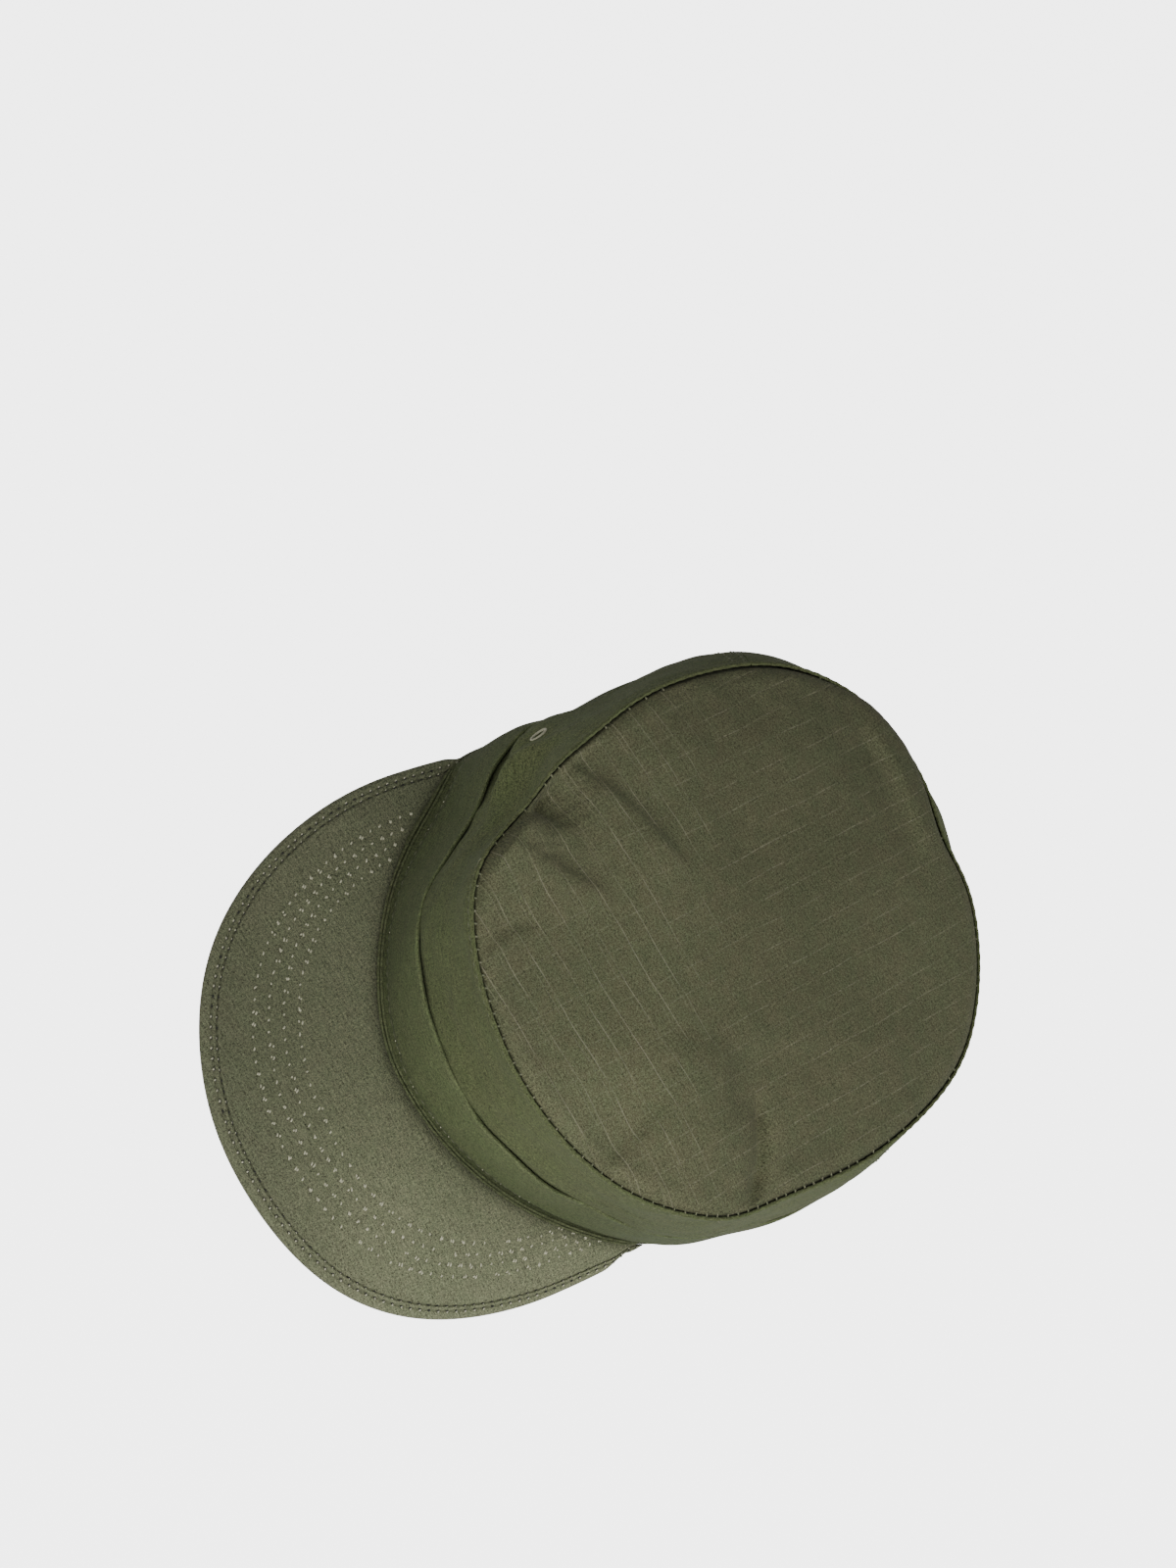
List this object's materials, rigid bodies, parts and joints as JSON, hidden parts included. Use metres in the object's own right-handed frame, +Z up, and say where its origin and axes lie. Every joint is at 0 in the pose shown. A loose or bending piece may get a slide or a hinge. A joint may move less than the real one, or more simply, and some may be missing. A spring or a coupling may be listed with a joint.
{
  "type": "patrol cap",
  "caption": "Soft patrol cap in olive ripstop cloth: flat oval top, sloping sides, folded band round the foot and a short stiff peak. It lies on its rim, open below for the head.",
  "frame": {"origin": "middle of the head opening, on the surface that the cap lies on", "axes": "+Z up, -Y out along the peak, +X to the wearer's left"},
  "size_m": [0.1727, 0.2616, 0.0877],
  "materials": {
    "crown_cloth": "matt ripstop cloth, olive",
    "side_cloth": "matt ripstop cloth, greener olive",
    "band_cloth": "matt ripstop cloth, double, greener olive",
    "rim_cloth": "matt rolled cloth, pale olive",
    "peak_cloth": "matt cloth over a stiff core, with stitch rows",
    "eyelet_thread": "pale olive thread"
  },
  "bodies": {
    "root": {"crown_top": "crown_cloth", "side_front": "side_cloth", "side_rear": "side_cloth", "outer_band": "band_cloth", "rim_binding": "rim_cloth", "peak": "peak_cloth", "eyelet_right": "eyelet_thread", "eyelet_left": "eyelet_thread"}
  },
  "joints": []
}
